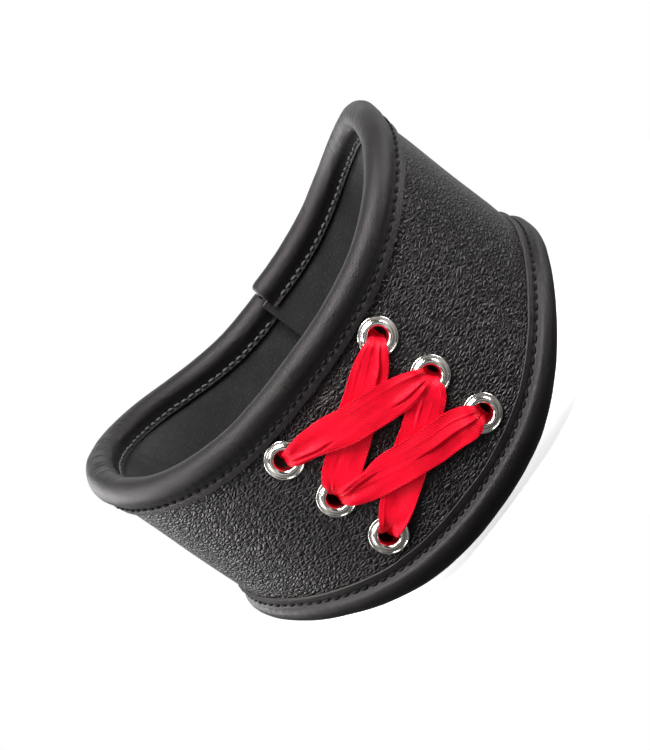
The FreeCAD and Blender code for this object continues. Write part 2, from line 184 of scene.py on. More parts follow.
def wave(x, seed, scale):
    """smooth repeatable wobble of x, about -1 to 1; scale is its longest period, roughly"""
    rng = np.random.default_rng(seed)
    total = 0.0
    for k in range(5):
        rate = x * (TURN / scale) * (0.6 + 0.55 * k + 0.2 * rng.random())
        total = total + math.pow(0.72, k) * np.sin(rate + rng.random() * 6.28)
    return total / 2.2


def wave2(x, y, seed, scale_x, scale_y):
    """the same kind of wobble over a surface"""
    rng = np.random.default_rng(seed)
    total = 0.0
    for k in range(7):
        phase = rng.random() * 6.28
        tilt = (rng.random() - 0.5) * 1.6
        fx, fy = (0.5 + 0.45 * k) / scale_x, (0.5 + 0.45 * k) / scale_y
        turns = x * fx * math.cos(tilt) + y * fy * math.sin(tilt) * 1.4
        total = total + math.pow(0.75, k) * np.sin(TURN * turns + phase)
    return total / 2.6


# ------------------------------------------------------------------ mesh helpers
def add_mesh(name, points, faces, mats, slots=None, uv=None):
    me = bpy.data.meshes.new(name)
    me.from_pydata(np.reshape(points, (-1, 3)).tolist(), [], faces)
    for mat in mats:
        me.materials.append(mat)
    if slots is not None:
        me.polygons.foreach_set("material_index", np.asarray(slots, dtype=np.int32))
    me.polygons.foreach_set("use_smooth", [True] * len(me.polygons))
    if uv is not None:
        layer = me.uv_layers.new(name="flat")
        corners = np.zeros(len(me.loops), dtype=np.int32)
        me.loops.foreach_get("vertex_index", corners)
        layer.data.foreach_set("uv", uv.reshape(-1, 2)[corners].astype(np.float32).ravel())
    me.validate()
    me.update()
    ob = bpy.data.objects.new(name, me)
    bpy.context.scene.collection.objects.link(ob)
    return ob


def skin(points, closed_section=True, looped=False):
    """faces over a grid points[n, m, 3] with m round the section, and each face's strip number;
    a closed section that doesn't loop gets two caps, numbered -1"""
    n, m = points.shape[:2]
    i, j = np.meshgrid(np.arange(n if looped else n - 1),
                       np.arange(m if closed_section else m - 1), indexing="ij")
    this, following, beside = i * m, (i + 1) % n * m, (j + 1) % m
    quads = np.stack([this + j, this + beside, following + beside, following + j], -1)
    faces, strips = quads.reshape(-1, 4).tolist(), j.reshape(-1).tolist()
    if closed_section and not looped:
        faces.append(list(range(m))[::-1])
        faces.append([(n - 1) * m + k for k in range(m)])
        strips += [-1, -1]
    return faces, strips


def outward(ob):
    """turn all faces outward on a closed mesh"""
    bm = bmesh.new()
    bm.from_mesh(ob.data)
    bmesh.ops.recalc_face_normals(bm, faces=bm.faces)
    bm.to_mesh(ob.data)
    bm.free()
    ob.data.update()
    return ob


def sharpen(ob, deg):
    ob.data.set_sharp_from_angle(angle=math.radians(deg))


def sheet(name, outer, inner, mats, edge_slot, uv=None):
    """a closed sheet between two grids; its cut edges take the material in edge_slot"""
    rows = outer.shape[1]
    points = np.concatenate([outer, inner[:, ::-1]], 1)
    faces, strips = skin(points)
    slots = [edge_slot if c in (rows - 1, 2 * rows - 1, -1) else 0 for c in strips]
    return outward(add_mesh(name, points, faces, mats, slots, uv))


def join_tubes(name, tubes, mat):
    """one object from capped tubes that all have the same grid"""
    tube_faces, _ = skin(tubes[0])
    count = tubes[0].shape[0] * tubes[0].shape[1]
    faces = [[k * count + v for v in face] for k in range(len(tubes)) for face in tube_faces]
    return add_mesh(name, np.array(tubes), faces, [mat])


def unit_rows(vectors):
    return vectors / np.linalg.norm(vectors, axis=1)[:, None]


def stitch_profile(length, radius):
    """rings of a stitch, thick in the middle and diving at both ends: (along, radius, sink)"""
    t = np.linspace(-1, 1, 7)
    rounded = radius * np.sqrt(np.clip(1 - np.abs(t) ** 3.2, 0.03, 1))
    return t * length / 2, rounded, -0.30 * np.abs(t) ** 3


def stitch_tube(centre, above, radius, flatten=1.0):
    """a bar of thread along centre; flatten scales it towards the points above"""
    normal = unit_rows(above - centre)
    beside = np.cross(unit_rows(np.gradient(centre, axis=0)), normal)
    a = (TURN * np.arange(8) / 8)[None, :, None]
    ring = normal[:, None] * np.cos(a) * flatten + beside[:, None] * np.sin(a)
    return centre[:, None] + ring * radius[:, None, None] * 0.001


def catmull(points, per):
    """closed smooth curve through points, per steps to a span"""
    P = np.asarray(points, float)
    n = len(P)
    out = []
    for i in range(n):
        p0, p1, p2, p3 = P[(i - 1) % n], P[i], P[(i + 1) % n], P[(i + 2) % n]
        for k in range(per):
            t = k / per
            out.append(0.5 * ((2 * p1) + (p2 - p0) * t + (2 * p0 - 5 * p1 + 4 * p2 - p3) * t * t
                              + (3 * p1 - p0 - 3 * p2 + p3) * t ** 3))
    return np.array(out)


# ------------------------------------------------------------------ shader helpers
class Shader:
    """a node tree with short ways to add to it; a value may be a number or a socket to link"""

    def __init__(self, tree):
        self.tree = tree
        self.bsdf = tree.nodes.get("Principled BSDF")

    def set(self, socket, value):
        if isinstance(value, bpy.types.NodeSocket):
            self.tree.links.new(value, socket)
        else:
            socket.default_value = value

    def feed(self, node, **named):
        for name, value in named.items():
            self.set(node.inputs[name.replace("_", " ")], value)

    def surface(self, **named):
        self.feed(self.bsdf, **named)

    def add(self, kind, *ordered, props=None, **named):
        node = self.tree.nodes.new("ShaderNode" + kind)
        for name, value in (props or {}).items():
            setattr(node, name, value)
        for k, value in enumerate(ordered):
            self.set(node.inputs[k], value)
        self.feed(node, **named)
        return node

    def math(self, operation, *values, clamp=False):
        props = dict(operation=operation, use_clamp=clamp)
        return self.add("Math", *values, props=props).outputs[0]

    def plus(self, a, b):
        return self.math("ADD", a, b)

    def times(self, a, b):
        return self.math("MULTIPLY", a, b)

    def ramp(self, fac, stops):
        """stops are (position, grey or rgb)"""
        node = self.add("ValToRGB")
        elements = node.color_ramp.elements
        while len(elements) > 1:
            elements.remove(elements[0])
        for k, (position, colour) in enumerate(stops):
            element = elements.new(position) if k else elements[0]
            element.position = position
            element.color = (*colour, 1) if isinstance(colour, tuple) else (colour,) * 3 + (1,)
        self.set(node.inputs["Fac"], fac)
        return node.outputs["Color"]

    def fade(self, value, start, end, low=0.0, high=1.0):
        node = self.add("MapRange", props=dict(interpolation_type="SMOOTHSTEP"), Value=value,
                        From_Min=start, From_Max=end, To_Min=low, To_Max=high)
        return node.outputs["Result"]

    def bump(self, height, strength, distance):
        node = self.add("Bump", Strength=strength, Distance=distance, Height=height)
        self.surface(Normal=node.outputs["Normal"])

    def object_place(self):
        return self.add("TexCoord").outputs["Object"]


def new_material(name):
    mat = bpy.data.materials.new(name)
    mat.use_nodes = True
    return mat, Shader(mat.node_tree)


def scaled(rgb, by):
    return tuple(c * by for c in rgb)


# ------------------------------------------------------------------ materials
def leather(name, base_rgb, high_rgb, grain, depth, rough, pebble, sheen, spec, stretch):
    """grain is the cell size and depth the relief, mm; pebble 0 is smooth, 1 a coarse grain"""
    mat, nodes = new_material(name)
    place = nodes.object_place()
    warp = nodes.add("TexNoise", Scale=1000.0 / (grain * 2.6), Detail=2.0, Vector=place)
    warped = nodes.add("VectorMath", warp.outputs["Color"], (0.0011 * grain,) * 3, place,
                       props=dict(operation="MULTIPLY_ADD"))
    # cells lie along the wall, round the neck
    along = nodes.add("Mapping", Rotation=(0.0, 0.12, 0.0), Vector=warped.outputs[0],
                      Scale=(1.0 / stretch, 1.0 / stretch, 1.0)).outputs["Vector"]

    def cell_tops(size, stops):
        cells = nodes.add("TexVoronoi", props=dict(feature="DISTANCE_TO_EDGE"),
                          Scale=1000.0 / size, Vector=along)
        return nodes.ramp(cells.outputs["Distance"], stops)

    plateau = cell_tops(grain, [(0.0, 0.0), (0.08, 0.26), (0.20, 0.60), (0.36, 0.87), (0.56, 1.0)])
    small = cell_tops(grain * 0.42, [(0.0, 0.0), (0.12, 0.7), (0.4, 1.0)])
    fine = nodes.add("TexNoise", Scale=1000.0 / (grain * 0.35), Detail=2.0, Roughness=0.5,
                     Vector=place).outputs["Fac"]
    broad = nodes.add("TexNoise", Scale=1000.0 / 8.0, Detail=3.0, Vector=place).outputs["Fac"]
    cell_height = nodes.times(plateau, 0.30 + 0.70 * pebble)
    small_height = nodes.times(small, 0.13)
    fine_height = nodes.times(fine, 0.12)
    broad_height = nodes.times(broad, 0.6 * pebble)
    height = nodes.plus(nodes.plus(cell_height, small_height),
                        nodes.plus(fine_height, broad_height))
    nodes.bump(height, strength=1.0, distance=depth * 0.001)
    # painted shade: the colour darkens to 0.55 of the base down in the creases between cells and
    # runs lighter on the cell tops, where shade and light would fall; the broad noise adds a
    # random tone
    tone = nodes.plus(nodes.times(plateau, 0.72), nodes.times(broad, 0.4))
    colour = nodes.ramp(tone, [(0.15, scaled(base_rgb, 0.55)), (0.6, base_rgb), (1.0, high_rgb)])
    dull = nodes.plus(nodes.times(broad, 0.14), rough + 0.08)
    # cell tops are rubbed shinier than the creases
    dull = nodes.math("SUBTRACT", dull, nodes.times(plateau, 0.15), clamp=True)
    nodes.surface(Base_Color=colour, Roughness=dull, Specular_IOR_Level=spec,
                  Specular_Tint=(1.0, 0.93, 0.935, 1))
    if sheen:
        nodes.surface(Sheen_Weight=sheen, Sheen_Roughness=0.4, Sheen_Tint=(0.9, 0.88, 0.85, 1))
    return mat


def edge_material():
    """the cut edge of a hide: paler, matt, with loose fibre"""
    mat, nodes = new_material("cut_edge")
    fibre = nodes.add("TexNoise", Scale=2600.0, Detail=4.0, Vector=nodes.object_place())
    fibre = fibre.outputs["Fac"]
    colour = nodes.ramp(fibre, [(0.3, (0.02, 0.018, 0.017)), (0.75, (0.085, 0.078, 0.072))])
    nodes.bump(fibre, strength=0.8, distance=0.00012)
    nodes.surface(Base_Color=colour, Roughness=0.85)
    return mat


def thread_material(name, low, high):
    mat, nodes = new_material(name)
    twist = nodes.add("TexWave", props=dict(bands_direction="DIAGONAL"), Scale=1500.0,
                      Distortion=1.0, Vector=nodes.object_place()).outputs["Fac"]
    colour = nodes.ramp(twist, [(0.2, low), (0.8, high)])
    nodes.bump(twist, strength=0.7, distance=0.00008)
    nodes.surface(Base_Color=colour, Roughness=0.75, Specular_IOR_Level=0.25)
    return mat


def nickel_material():
    mat, nodes = new_material("nickel")
    place = nodes.object_place()
    mottle = nodes.add("TexNoise", Scale=700.0, Detail=6.0, Roughness=0.65,
                       Vector=place).outputs["Fac"]
    squeezed = nodes.add("Mapping", Scale=(1, 9, 1), Vector=place).outputs["Vector"]
    scratch = nodes.add("TexNoise", Scale=300.0, Detail=2.0, Vector=squeezed).outputs["Fac"]
    colour = nodes.ramp(mottle, [(0.3, (0.84, 0.80, 0.75)), (0.7, (0.91, 0.87, 0.82))])
    nodes.surface(Base_Color=colour, Metallic=1.0,
                  Roughness=nodes.plus(nodes.times(scratch, 0.10), 0.13))
    nodes.bump(mottle, strength=0.03, distance=0.00003)
    return mat


def satin_material():
    """satin: threads along the ribbon, a fine twill and a denser woven selvedge"""
    mat, nodes = new_material("red_satin")
    uv = nodes.add("UVMap", props=dict(uv_map="flat")).outputs["UV"]
    parts = nodes.add("SeparateXYZ", uv).outputs
    across, along = parts["X"], parts["Y"]          # 0 to 1 across; mm / 10 along

    def slanted(turns_across, turns_along):
        return nodes.math("SINE", nodes.plus(nodes.times(across, TURN * turns_across),
                                             nodes.times(along, TURN * turns_along)))

    threads = nodes.math("SINE", nodes.times(across, TURN * 40))
    twill = slanted(8, 14)
    from_middle = nodes.math("ABSOLUTE", nodes.math("SUBTRACT", across, 0.5))
    selvedge = nodes.math("GREATER_THAN", from_middle, 0.452)
    weave = slanted(14, 12)
    height = nodes.plus(nodes.times(threads, 0.35), nodes.times(twill, 0.25))
    height = nodes.plus(height, nodes.times(nodes.times(selvedge, weave), 1.6))
    cloud = nodes.add("TexNoise", Scale=120.0, Detail=3.0, Vector=nodes.object_place())
    tone = nodes.plus(
        nodes.times(cloud.outputs["Fac"], 0.6),
        nodes.plus(nodes.times(nodes.times(selvedge, weave), 0.34), nodes.times(twill, 0.13)))
    colour = nodes.ramp(tone, [(0.05, (0.50, 0.001, 0.010)), (0.3, (0.93, 0.002, 0.022)),
                               (0.7, (1.0, 0.004, 0.030))])
    nodes.bump(height, strength=0.8, distance=0.00005)
    tangent = nodes.add("Tangent", props=dict(direction_type="UV_MAP", uv_map="flat"))
    nodes.surface(Base_Color=colour, Roughness=0.36, Anisotropic=0.7,
                  Tangent=tangent.outputs["Tangent"], Specular_IOR_Level=0.45,
                  Specular_Tint=(1.0, 0.30, 0.36, 1), Sheen_Weight=0.10,
                  Sheen_Tint=(1.0, 0.20, 0.25, 1))
    # painted glow: a faint red emission lifts the ribbon's shade and keeps its red saturated,
    # though the cloth gives off no light
    nodes.surface(Emission_Color=(1.0, 0.002, 0.022, 1), Emission_Strength=0.07)
    return mat


def pile_material(name, rgb, scale):
    mat, nodes = new_material(name)
    place = nodes.object_place()
    noise = nodes.add("TexNoise", Scale=scale, Detail=5.0, Roughness=0.7, Vector=place)
    cells = nodes.add("TexVoronoi", Scale=scale * 0.8, Vector=place)
    height = nodes.plus(noise.outputs["Fac"], cells.outputs["Distance"])
    colour = nodes.ramp(height, [(0.3, scaled(rgb, 0.4)), (1.0, scaled(rgb, 1.6))])
    nodes.bump(height, strength=1.0, distance=0.0004)
    nodes.surface(Base_Color=colour, Roughness=0.9, Sheen_Weight=0.4)
    return mat


PEBBLED = leather("pebbled_leather", (0.0030, 0.0026, 0.0029), (0.0075, 0.0063, 0.0066),
                  grain=1.0, depth=0.34, rough=0.27, pebble=1.0, sheen=0.0, spec=0.42, stretch=1.9)
SMOOTH = leather("smooth_leather", (0.0052, 0.0044, 0.0047), (0.0092, 0.0076, 0.0080),
                 grain=0.50, depth=0.115, rough=0.33, pebble=0.14, sheen=0.02, spec=0.42,
                 stretch=1.0)
LINING_HIDE = leather("lining_leather", (0.0200, 0.0205, 0.0212), (0.0330, 0.0334, 0.0342),
                      grain=0.9, depth=0.10, rough=0.40, pebble=0.25, sheen=0.06, spec=0.5,
                      stretch=1.3)
CUT_EDGE = edge_material()
BLACK_THREAD = thread_material("black_thread", low=0.0025, high=0.007)
GREY_THREAD = thread_material("grey_thread", low=0.04, high=0.13)
NICKEL = nickel_material()
SATIN = satin_material()
FOAM_MAT = pile_material("foam", (0.10, 0.10, 0.10), scale=1500.0)
STIFF_MAT = pile_material("stiffener_sheet", (0.05, 0.05, 0.055), scale=700.0)
LOOP_PILE = pile_material("loop_pile", (0.020, 0.020, 0.021), scale=2200.0)
HOOK_PILE = pile_material("hook_pile", (0.026, 0.026, 0.027), scale=1300.0)


# ------------------------------------------------------------------ halves of the wall
def fit_half(ob, side, stem):
    """bake a half's transform, and let it stand for the front and wing CAD pieces by hiding them
    """
    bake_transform(ob)
    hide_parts(stem + "_front", stem + "_" + side)


def half_columns(side, step):
    """plan angles and lengths from the front's middle to one end"""
    count = int(math.ceil(END_LENGTH / step)) + 1
    length = np.linspace(0.0, SIDES[side] * END_LENGTH, count)
    return angle_at(length), length


def wall_rows(length, low, high, rows):
    """grids of length, height and distance from the nearer cut edge"""
    share = np.linspace(0, 1, rows)[None]
    Z = low[:, None] * (1 - share) + high[:, None] * share
    S = np.broadcast_to(length[:, None], Z.shape)
    return S, Z, np.minimum(high[:, None] - Z, Z - low[:, None])


# ------------------------------------------------------------------ eyelet places and drill
# frame: x across, y up the wall, z out of it, with its origin on the outer face
Eyelet = namedtuple("Eyelet", "side row z length frame")


def make_eyelet(side, row):
    z = EYELET_Z + row * EYELET_PITCH
    degrees = np.linspace(0, 60, 6001)
    deg = side * float(np.interp(EYELET_X, on_wall(degrees, z, 0.0)[:, 0] * 1000, degrees))
    up = Vector(on_wall(deg, z + 1, 0.0) - on_wall(deg, z - 1, 0.0)).normalized()
    along = on_wall(deg + 1, z, 0.0) - on_wall(deg - 1, z, 0.0)
    out = Vector((along[0], along[1], 0)).normalized().cross(up).normalized()
    across = up.cross(out).normalized()
    place = Matrix((across, out.cross(across), out)).transposed().to_4x4()
    place.translation = Vector(on_wall(deg, z, 0.0))
    return Eyelet(side, row, z, float(length_at(deg)), place)


EYELETS = {(side, row): make_eyelet(side, row)
           for row in (UPPER, MIDDLE, LOWER) for side in (RIGHT, LEFT)}


def make_drill(radius=3.22, inner_end=-9.0, outer_end=5.0, segments=40):
    """cylinders that open the six holes through the plies"""
    angles = [TURN * k / segments for k in range(segments)]
    size = radius * 1e-3
    tubes = [np.array([[tuple(e.frame @ Vector((size * math.cos(a), size * math.sin(a), t * 1e-3)))
                        for a in angles] for t in (inner_end, outer_end)])
             for e in EYELETS.values()]
    return join_tubes("drill", tubes, CUT_EDGE)


drill = make_drill()
drill.hide_render = True


def bore(ob):
    cut = ob.modifiers.new("holes", "BOOLEAN")
    cut.operation = "DIFFERENCE"
    cut.object = drill
    cut.solver = "EXACT"
    depsgraph = bpy.context.evaluated_depsgraph_get()
    bored = bpy.data.meshes.new_from_object(ob.evaluated_get(depsgraph))
    ob.modifiers.clear()
    old = ob.data
    ob.data = bored
    bpy.data.meshes.remove(old)


# ------------------------------------------------------------------ plies
def eyelet_distance(S, Z):
    """distance on the wall to the nearest eyelet's centre"""
    nearest = np.full(Z.shape, 1e3)
    for e in EYELETS.values():
        nearest = np.minimum(nearest, np.hypot(S - e.length, Z - e.z))
    return nearest


def shell_relief(S, Z, hem):
    """soft swells, and the hide pulled down round each eyelet"""
    swell = 0.16 * wave2(S, Z, 11, 46, 38) * smooth((hem - 5.0) / 6.0)
    away = eyelet_distance(S, Z)
    dent = -0.10 * np.exp(-((away - 6.2) / 2.2) ** 2)
    return swell * smooth((away - 4) / 8) + dent - 0.03


# (length along the wall, lean per mm of height, half width, depth)
LINING_CREASES = [(-96, 0.35, 1.1, 0.42), (-78, -0.22, 0.9, 0.30), (70, 0.3, 1.0, 0.34),
                  (101, -0.3, 1.2, 0.36), (-120, 0.15, 1.4, 0.25), (128, 0.2, 1.2, 0.22)]


def lining_relief(S, Z, hem):
    """long shallow folds, and sharper creases where the wall bends"""
    tight = np.exp(-((np.abs(S) - 88) / 26.0) ** 2)
    fold = (0.22 * wave2(S, Z, 5, 22, 60)
            + 0.20 * tight * np.abs(wave(S + 0.22 * Z, 8, 13)) ** 0.7)
    crease = 0.0
    for start, lean, width, deep in LINING_CREASES:
        x = S - start - lean * Z
        crease = crease + deep * np.exp(-(x / width) ** 2) * (0.5 + 0.5 * np.tanh(Z / 14.0 + 0.4))
    clear = smooth((eyelet_distance(S, Z) - 5.5) / 5)
    return -(np.clip(fold, -0.1, 1) * 0.9 + crease) * smooth((hem - 3.4) / 4.0) * clear


Ply = namedtuple("Ply", "name stem slot offsets mats step rows edge_slot reach outer inner",
                 defaults=(None, None))
hide_step = 0.9
# reach is the share of LAP_REACH the right half runs on; outer and inner are face reliefs
PLIES = [
    Ply("outer_leather", "outer_shell", "pebbled_leather", SHELL_PLY, [PEBBLED, CUT_EDGE],
        hide_step, 56, edge_slot=1, reach=0.0, outer=shell_relief),
    Ply("stiffener_sheet", "stiffener", "stiffener_sheet", STIFF_PLY, [STIFF_MAT],
        3.0, 8, edge_slot=0, reach=0.8),
    Ply("foam_sheet", "foam_interlining", "foam", FOAM_PLY, [FOAM_MAT],
        3.0, 8, edge_slot=0, reach=0.9),
    Ply("lining_leather", "lining", "lining_leather", LINING_PLY, [LINING_HIDE, CUT_EDGE],
        hide_step, 56, edge_slot=0, reach=1.0, inner=lining_relief),
]


def make_ply(ply, side):
    deg, length = half_columns(side, ply.step)
    if side == "right" and ply.reach:         # carry it past the end, inside the other wing
        more = np.linspace(0, LAP_REACH * ply.reach, 5)[1:]
        deg = np.concatenate([deg, deg[-1] + np.degrees(more / PLAN_HALF_Y)])
        length = np.concatenate([length, length[-1] + more])
    low = bottom_z(deg) + BOTTOM.radius + PLY_MARGIN
    high = top_z(deg) - TOP.radius - PLY_MARGIN
    S, Z, hem = wall_rows(length, low, high, ply.rows)
    faces = [on_wall(deg[:, None], Z, offset + (relief(S, Z, hem) if relief else 0.0))
             for offset, relief in zip(ply.offsets, (ply.outer, ply.inner))]
    uv = np.stack([np.concatenate([S, S], 1), np.concatenate([Z, Z[:, ::-1]], 1)], -1) / 10
    ob = sheet("%s_%s" % (ply.name, side), *faces, ply.mats, ply.edge_slot, uv)
    bore(ob)
    sharpen(ob, 50)
    fit_half(ob, side, ply.stem)


for side in SIDES:
    for ply in PLIES:
        make_ply(ply, side)


# ------------------------------------------------------------------ padded rims
def resample(points, step):
    """a polyline cut again into pieces of about step mm"""
    P = np.asarray(points, float)
    run = np.concatenate([[0], np.cumsum(np.linalg.norm(np.diff(P, axis=0), axis=1))])
    count = max(3, int(round(run[-1] / step)) + 1)
    t = np.linspace(0, run[-1], count)
    return np.stack([np.interp(t, run, P[:, 0]), np.interp(t, run, P[:, 1])], 1)


def soften(P, times, kept=2):
    """round a polyline's corners, leaving the last points at both ends"""
    for _ in range(times):
        Q = P.copy()
        Q[1:-1] = 0.25 * P[:-2] + 0.5 * P[1:-1] + 0.25 * P[2:]
        Q[:kept] = P[:kept]
        Q[-kept:] = P[-kept:]
        P = Q
    return P


def binding_outline(radius):
    """the binding's outer and inner skins as (offset, distance from the rim's edge)"""
    bore_radius = radius - BINDING
    # each arc runs this far past the roll's centre
    past = math.degrees(math.asin(1.7 / radius))
    bore_past = math.degrees(math.asin(1.2 / bore_radius))

    def arc(r, start, end, count):
        return [(MID + r * math.cos(a), radius - r * math.sin(a))
                for a in np.radians(np.linspace(start, end, count))]

    neck, bore_neck = radius + 2.75, radius + 2.1       # where the straight legs begin
    out, inn = BINDING_GAP, FACE_IN - BINDING_GAP
    outer = ([(out + BINDING, LEG_OUT), (out + BINDING, neck)]
             + arc(radius, -past, 180 + past, 40)
             + [(inn - BINDING, neck), (inn - BINDING, LEG_IN)])
    inner = ([(inn, LEG_IN), (inn, bore_neck)]
             + arc(bore_radius, 180 + bore_past, -bore_past, 26)
             + [(out, bore_neck), (out, LEG_OUT)])
    return soften(resample(outer, 0.42), 3), resample(inner, 1.1)


def binding_relief(S, offset, below, rim):
    """how far the binding's outer skin lifts along its own normal"""
    radius, seed = rim.radius, rim.seed
    around = np.degrees(np.arctan2(radius - below, offset - MID))   # 0 out, 90 crest, 180 in
    # the padding is not quite even along the rim
    lump = 0.10 * wave(S, seed, 37) + 0.06 * wave2(S, around * 0.12, seed + 1, 16, 9)
    # gathers on the inside of the tight bends, square to the rim
    tight = np.exp(-((np.abs(S) - rim.gather) / 30.0) ** 2)
    inside = smooth((around - 70) / 60.0)
    pleats = np.abs(wave(S + 0.9 * np.sin(below * 0.9), seed + 3, 9.5))
    small_pleats = np.abs(wave(S, seed + 9, 15))
    gather = (-0.26 * tight * inside * (1 - smooth(pleats / 0.42))
              - 0.05 * inside * (1 - smooth(small_pleats / 0.3)))
    # a groove under the seams and a pucker at each stitch
    phase = np.cos(TURN * S / STITCH_PITCH)
    groove = -(0.24 + 0.14 * phase) * np.exp(-((below - SEAM) / 0.55) ** 2)
    pucker = 0.05 * phase * np.exp(-((below - radius - 1.8) / 1.5) ** 2)
    edge_wave = 0.05 * wave(S, seed + 5, 8) * smooth((below - 9.2) / 1.0)
    on_roll = smooth((radius + 2.2 - below) / 1.2)
    return np.maximum((lump + gather) * on_roll + groove + pucker + edge_wave, -0.42)


def make_binding(side, rim):
    radius = rim.radius
    outer, inner = binding_outline(radius)
    deg, length = half_columns(side, 0.62)
    S = length[:, None]
    count = len(outer)
    tangent = unit_rows(np.gradient(outer, axis=0))
    normal = np.stack([-tangent[:, 1], tangent[:, 0]], 1)
    normal *= np.sign(((outer - np.array([MID, radius])) * normal).sum(1).mean())
    lift = binding_relief(S, outer[:, 0][None], outer[:, 1][None], rim)
    outline = np.concatenate([outer, inner])
    offset = np.tile(outline[:, 0], (len(deg), 1))
    below = np.tile(outline[:, 1], (len(deg), 1))
    offset[:, :count] += normal[:, 0] * lift
    below[:, :count] += normal[:, 1] * lift
    # the outer cut edge wanders a little
    wander = 0.14 * wave(S, rim.seed + 7, 23)
    below += wander * smooth((below - 9.6) / 0.8) * (outline[:, 0] > MID)
    # the ends of the roll are tucked in
    tail = np.clip((END_LENGTH - np.abs(S)) / 2.4, 0, 1)
    tuck = 0.16 if side == "right" else 0.03
    shrink = 1 - tuck * (1 - np.sqrt(np.clip(1 - (1 - tail) ** 2, 0, 1)))
    hold = np.concatenate([smooth((radius + 2.6 - outer[:, 1]) / 1.5),
                           smooth((radius + 1.9 - inner[:, 1]) / 1.0)])
    offset += (MID - offset) * (1 - shrink) * hold
    below += (radius - below) * (1 - shrink) * hold
    points = on_rim(deg[:, None], rim, offset, below)
    faces, strips = skin(points)
    slots = [1 if c in (count - 1, len(outline) - 1) else 0 for c in strips]
    uv = np.zeros(points.shape[:2] + (2,))
    uv[..., 0] = S / 10
    uv[..., 1] = np.arange(len(outline))[None] * 0.04
    ob = outward(add_mesh("%s_binding_leather_%s" % (rim.word, side), points, faces,
                          [SMOOTH, CUT_EDGE], slots, uv))
    sharpen(ob, 55)
    fit_half(ob, side, rim.word + "_binding")


def make_padding(side, rim):
    core = rim.radius - BINDING - 0.3
    a = np.linspace(0, TURN, 20, endpoint=False)[None]
    deg, length = half_columns(side, 3.0)
    S = length[:, None]
    lumps = 1 - 0.03 * (1 + wave(S + 3 * np.cos(a), rim.seed + 20, 15))
    tail = np.clip((END_LENGTH - np.abs(S)) / 3.0, 0.55, 1)
    offset = MID + core * np.cos(a) * lumps * tail
    below = np.minimum(rim.radius + core * np.sin(a) * lumps * tail, rim.radius + 1.7)
    points = on_rim(deg[:, None], rim, offset, below)
    faces, _ = skin(points)
    ob = outward(add_mesh("%s_rim_padding_%s_soft" % (rim.word, side), points, faces, [FOAM_MAT]))
    fit_half(ob, side, rim.word + "_rim_padding")


def make_seam(side, rim, outside):
    """a row of slightly uneven stitches through the binding's outer or inner leg"""
    rng = np.random.default_rng(rim.thread_seed + outside * 4 + (side == "left"))
    along, radius, sink = stitch_profile(length=2.15, radius=0.40 if outside else 0.42)
    away = 1 if outside else -1
    bed = 0.18                  # below the binding's face
    face = (BINDING_GAP + BINDING - bed if outside
            else FACE_IN - BINDING_GAP - BINDING + bed)
    tubes = []
    for k in range(int((END_LENGTH - 3.0) / STITCH_PITCH)):
        slant = 0.10 * away + 0.05 * rng.standard_normal()
        slip = rng.standard_normal() * 0.07
        stray = rng.standard_normal() * 0.06
        lift = 0.16 + 0.04 * rng.standard_normal()
        deg = angle_at(SIDES[side] * STITCH_PITCH * (k + 0.5) + slip + along)
        below = SEAM + stray + slant * along
        offset = face + away * (lift + 0.10 + sink)
        tubes.append(stitch_tube(on_rim(deg, rim, offset, below),
                                 on_rim(deg, rim, offset + away * 0.5, below), radius, 0.85))
    name = "%s_stitches_%s_%s" % (rim.word, "outside" if outside else "inside", side)
    ob = outward(join_tubes(name, tubes, BLACK_THREAD if outside else GREY_THREAD))
    fit_half(ob, side, rim.word + "_seam_thread")


for side in SIDES:
    for rim in (TOP, BOTTOM):
        make_binding(side, rim)
        make_padding(side, rim)
        for outside in (True, False):
            make_seam(side, rim, outside)

# ------------------------------------------------------------------ eyelets and back washers
# sections as (radius, distance out from the wall's outer face)
RING_SECTION = [
    (2.62, -6.2), (2.60, -4.5), (2.60, -2.5), (2.60, -0.4), (2.64, 0.35), (2.80, 0.80),
    (3.08, 1.14), (3.45, 1.32), (3.85, 1.28), (4.20, 1.05), (4.44, 0.78), (4.60, 0.60),
    (4.78, 0.56), (4.92, 0.66), (5.08, 0.76), (5.27, 0.72), (5.41, 0.54), (5.45, 0.30),
    (5.38, 0.12), (5.10, 0.10), (4.50, 0.22), (3.80, 0.18), (3.25, 0.06), (3.10, -0.3),
    (3.10, -2.5), (3.10, -5.2), (3.16, -5.62), (3.55, -5.68), (3.95, -5.74), (4.08, -5.95),
    (3.85, -6.20), (3.3, -6.34)]
WASHER_FACE = FACE_IN - 0.35
WASHER_BACK = WASHER_FACE - 0.5
WASHER_SECTION = [
    (3.24, WASHER_FACE), (3.24, WASHER_BACK + 0.06), (3.34, WASHER_BACK), (4.85, WASHER_BACK),
    (5.02, WASHER_BACK + 0.08), (5.10, WASHER_FACE - 0.2), (5.10, WASHER_FACE)]


def lathe(name, section, eyelet, segments):
    angles = [TURN * g / segments for g in range(segments)]
    points = np.array([
        [tuple(eyelet.frame @ Vector((r * math.cos(a) * 1e-3, r * math.sin(a) * 1e-3, t * 1e-3)))
         for r, t in section] for a in angles])
    faces, _ = skin(points, looped=True)
    return outward(add_mesh(name, points, faces, [NICKEL]))


def fit_front(ob, replaced):
    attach(ob, "collar_front")
    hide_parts(replaced)


ROW_WORDS = {UPPER: "top", MIDDLE: "middle", LOWER: "bottom"}
for eyelet in EYELETS.values():
    word = "%s_%s" % ("right" if eyelet.side == RIGHT else "left", ROW_WORDS[eyelet.row])
    ring = lathe("eyelet_ring_" + word, catmull(RING_SECTION, 3), eyelet, segments=72)
    fit_front(ring, "eyelet_" + word)
    washer = lathe("back_washer_" + word, WASHER_SECTION, eyelet, segments=56)
    sharpen(washer, 35)
    fit_front(washer, "washer_" + word)

# ------------------------------------------------------------------ satin ribbon
RIBBON_WIDTH = 10.0
RIBBON_ROWS, RIBBON_COLUMNS = 150, 45
HOLE_REACH = 4.2            # how far the ribbon's length runs on into a hole
